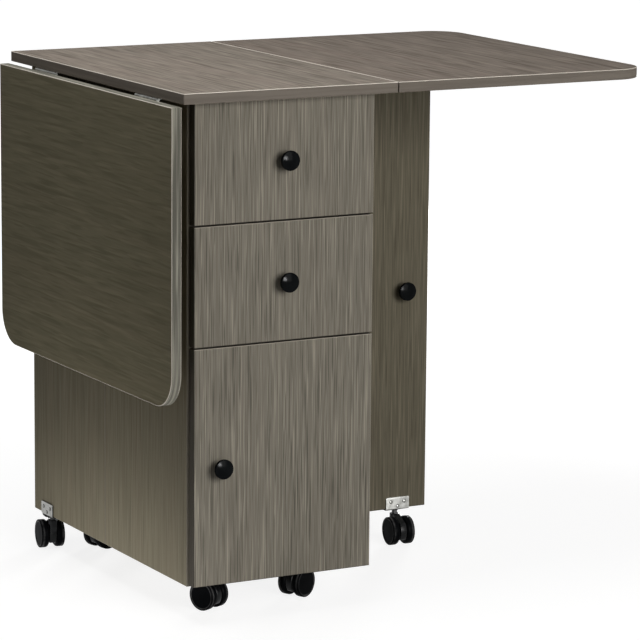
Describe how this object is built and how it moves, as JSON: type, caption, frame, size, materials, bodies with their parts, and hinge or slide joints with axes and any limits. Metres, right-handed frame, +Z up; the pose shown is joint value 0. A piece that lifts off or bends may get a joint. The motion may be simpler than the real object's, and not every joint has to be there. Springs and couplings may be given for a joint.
{
  "type": "folding dining table",
  "caption": "Folding table on casters: drawer cabinet with a drop leaf on each long side and swing-out gates on casters that carry the raised leaves.",
  "frame": {"origin": "on the floor, midway between the outermost faces of the two leaves and midway between the front and rear edges of the top", "axes": "+X along the table towards the raised leaf, +Y from the drawer fronts to the back, +Z up"},
  "size_m": [0.77, 0.58, 0.75],
  "materials": {
    "top_board": "matt grey-brown oak laminate",
    "hanging_leaf_board": "matt grey-brown oak laminate",
    "carcass_board": "matt grey-brown oak laminate",
    "gate_board": "matt grey-brown oak laminate",
    "front_board": "matt grey-brown oak laminate",
    "drawer_board": "pale foil on board",
    "hardware_steel": "zinc plated",
    "knob_plastic": "satin black",
    "pad_rubber": "black rubber",
    "caster_plastic": "black nylon",
    "wheel_plastic": "black nylon"
  },
  "bodies": {
    "cabinet": {"fixed_top": "top_board", "left_side": "carcass_board", "right_side": "carcass_board", "base_panel": "carcass_board", "centre_partition": "carcass_board", "rear_panel": "carcass_board", "rear_shelf": "carcass_board", "drawer_deck": "carcass_board", "drawer_rails": "hardware_steel", "leaf_hinge_plates": "hardware_steel", "gate_hinge_plates": "hardware_steel", "door_hinge_plates": "hardware_steel", "hinge_pins": "hardware_steel", "caster_plates": "hardware_steel"},
    "left_leaf": {"left_leaf": "hanging_leaf_board", "left_leaf_hinges": "hardware_steel"},
    "right_leaf": {"right_leaf": "top_board", "right_leaf_hinges": "hardware_steel"},
    "left_gate": {"left_gate": "gate_board", "left_gate_hinges": "hardware_steel", "left_gate_knob": "knob_plastic", "left_gate_pad": "pad_rubber", "left_gate_bracket": "hardware_steel", "left_bracket_screws": "hardware_steel"},
    "right_gate": {"right_gate": "gate_board", "right_gate_hinges": "hardware_steel", "right_gate_knob": "knob_plastic", "right_gate_pad": "pad_rubber", "right_gate_bracket": "hardware_steel", "right_bracket_screws": "hardware_steel"},
    "upper_drawer": {"upper_drawer_front": "front_board", "upper_drawer_sides": "drawer_board", "upper_drawer_back": "drawer_board", "upper_drawer_bottom": "drawer_board", "upper_drawer_sliders": "hardware_steel", "upper_drawer_knob": "knob_plastic"},
    "lower_drawer": {"lower_drawer_front": "front_board", "lower_drawer_sides": "drawer_board", "lower_drawer_back": "drawer_board", "lower_drawer_bottom": "drawer_board", "lower_drawer_sliders": "hardware_steel", "lower_drawer_knob": "knob_plastic"},
    "door": {"door_panel": "front_board", "door_hinges": "hardware_steel", "door_knob": "knob_plastic"},
    "brake_lever": {"brake_lever": "caster_plastic"},
    "front_left_swivel": {"front_left_hood": "caster_plastic"},
    "front_left_wheels": {"front_left_wheels": "wheel_plastic"},
    "front_right_swivel": {"front_right_hood": "caster_plastic"},
    "front_right_wheels": {"front_right_wheels": "wheel_plastic"},
    "rear_left_swivel": {"rear_left_hood": "caster_plastic"},
    "rear_left_wheels": {"rear_left_wheels": "wheel_plastic"},
    "rear_right_swivel": {"rear_right_hood": "caster_plastic"},
    "rear_right_wheels": {"rear_right_wheels": "wheel_plastic"},
    "left_gate_swivel": {"left_gate_hood": "caster_plastic"},
    "left_gate_wheels": {"left_gate_wheels": "wheel_plastic"},
    "right_gate_swivel": {"right_gate_hood": "caster_plastic"},
    "right_gate_wheels": {"right_gate_wheels": "wheel_plastic"}
  },
  "joints": [
    {"name": "left_leaf_fold", "type": "hinge", "parent": "cabinet", "child": "left_leaf", "pos_m": [-0.368, 0, 0.733], "axis": [0, 1, 0], "range_deg": [0, 90]},
    {"name": "right_leaf_fold", "type": "hinge", "parent": "cabinet", "child": "right_leaf", "pos_m": [-0.034, 0, 0.733], "axis": [0, -1, 0], "range_deg": [0, 5]},
    {"name": "left_gate_swing", "type": "hinge", "parent": "cabinet", "child": "left_gate", "pos_m": [-0.3462, 0.014, 0.39], "axis": [0, 0, 1], "range_deg": [0, 1.5]},
    {"name": "right_gate_swing", "type": "hinge", "parent": "cabinet", "child": "right_gate", "pos_m": [-0.0558, 0.014, 0.39], "axis": [0, 0, 1], "range_deg": [0, 90]},
    {"name": "upper_drawer_slide", "type": "slide", "parent": "cabinet", "child": "upper_drawer", "axis": [0, -1, 0], "range_m": [0, 0.17]},
    {"name": "lower_drawer_slide", "type": "slide", "parent": "cabinet", "child": "lower_drawer", "axis": [0, -1, 0], "range_m": [0, 0.17]},
    {"name": "door_swing", "type": "hinge", "parent": "cabinet", "child": "door", "pos_m": [-0.0558, -0.254, 0.2245], "axis": [0, 0, 1], "range_deg": [0, 100]},
    {"name": "front_left_swivel", "type": "hinge", "parent": "cabinet", "child": "front_left_swivel", "pos_m": [-0.283, -0.177, 0.043], "axis": [0, 0, 1], "continuous": true},
    {"name": "front_left_roll", "type": "hinge", "parent": "front_left_swivel", "child": "front_left_wheels", "pos_m": [-0.27714, -0.19081, 0.0215], "axis": [0.9205, 0.3907, 0], "continuous": true},
    {"name": "front_right_swivel", "type": "hinge", "parent": "cabinet", "child": "front_right_swivel", "pos_m": [-0.119, -0.177, 0.043], "axis": [0, 0, 1], "continuous": true},
    {"name": "front_right_roll", "type": "hinge", "parent": "front_right_swivel", "child": "front_right_wheels", "pos_m": [-0.13248, -0.18358, 0.0215], "axis": [0.4384, -0.8988, 0], "continuous": true},
    {"name": "rear_left_swivel", "type": "hinge", "parent": "cabinet", "child": "rear_left_swivel", "pos_m": [-0.2505, 0.2, 0.043], "axis": [0, 0, 1], "continuous": true},
    {"name": "rear_left_roll", "type": "hinge", "parent": "rear_left_swivel", "child": "rear_left_wheels", "pos_m": [-0.26492, 0.19587, 0.0215], "axis": [0.2756, -0.9613, 0], "continuous": true},
    {"name": "rear_right_swivel", "type": "hinge", "parent": "cabinet", "child": "rear_right_swivel", "pos_m": [-0.1515, 0.2, 0.043], "axis": [0, 0, 1], "continuous": true},
    {"name": "rear_right_roll", "type": "hinge", "parent": "rear_right_swivel", "child": "rear_right_wheels", "pos_m": [-0.159, 0.18701, 0.0215], "axis": [0.866, -0.5, 0], "continuous": true},
    {"name": "left_gate_swivel", "type": "hinge", "parent": "left_gate", "child": "left_gate_swivel", "pos_m": [-0.336, 0.218, 0.043], "axis": [0, 0, 1], "continuous": true},
    {"name": "left_gate_roll", "type": "hinge", "parent": "left_gate_swivel", "child": "left_gate_wheels", "pos_m": [-0.33391, 0.23285, 0.0215], "axis": [-0.9903, 0.1392, 0], "continuous": true},
    {"name": "right_gate_swivel", "type": "hinge", "parent": "right_gate", "child": "right_gate_swivel", "pos_m": [0.1482, 0.0242, 0.043], "axis": [0, 0, 1], "continuous": true},
    {"name": "right_gate_roll", "type": "hinge", "parent": "right_gate_swivel", "child": "right_gate_wheels", "pos_m": [0.14715, 0.00924, 0.0215], "axis": [0.9976, -0.0698, 0], "continuous": true},
    {"name": "brake_press", "type": "hinge", "parent": "left_gate_swivel", "child": "brake_lever", "pos_m": [-0.33489, 0.22592, 0.04805], "axis": [-0.9903, 0.1392, 0], "range_deg": [0, 10]}
  ]
}
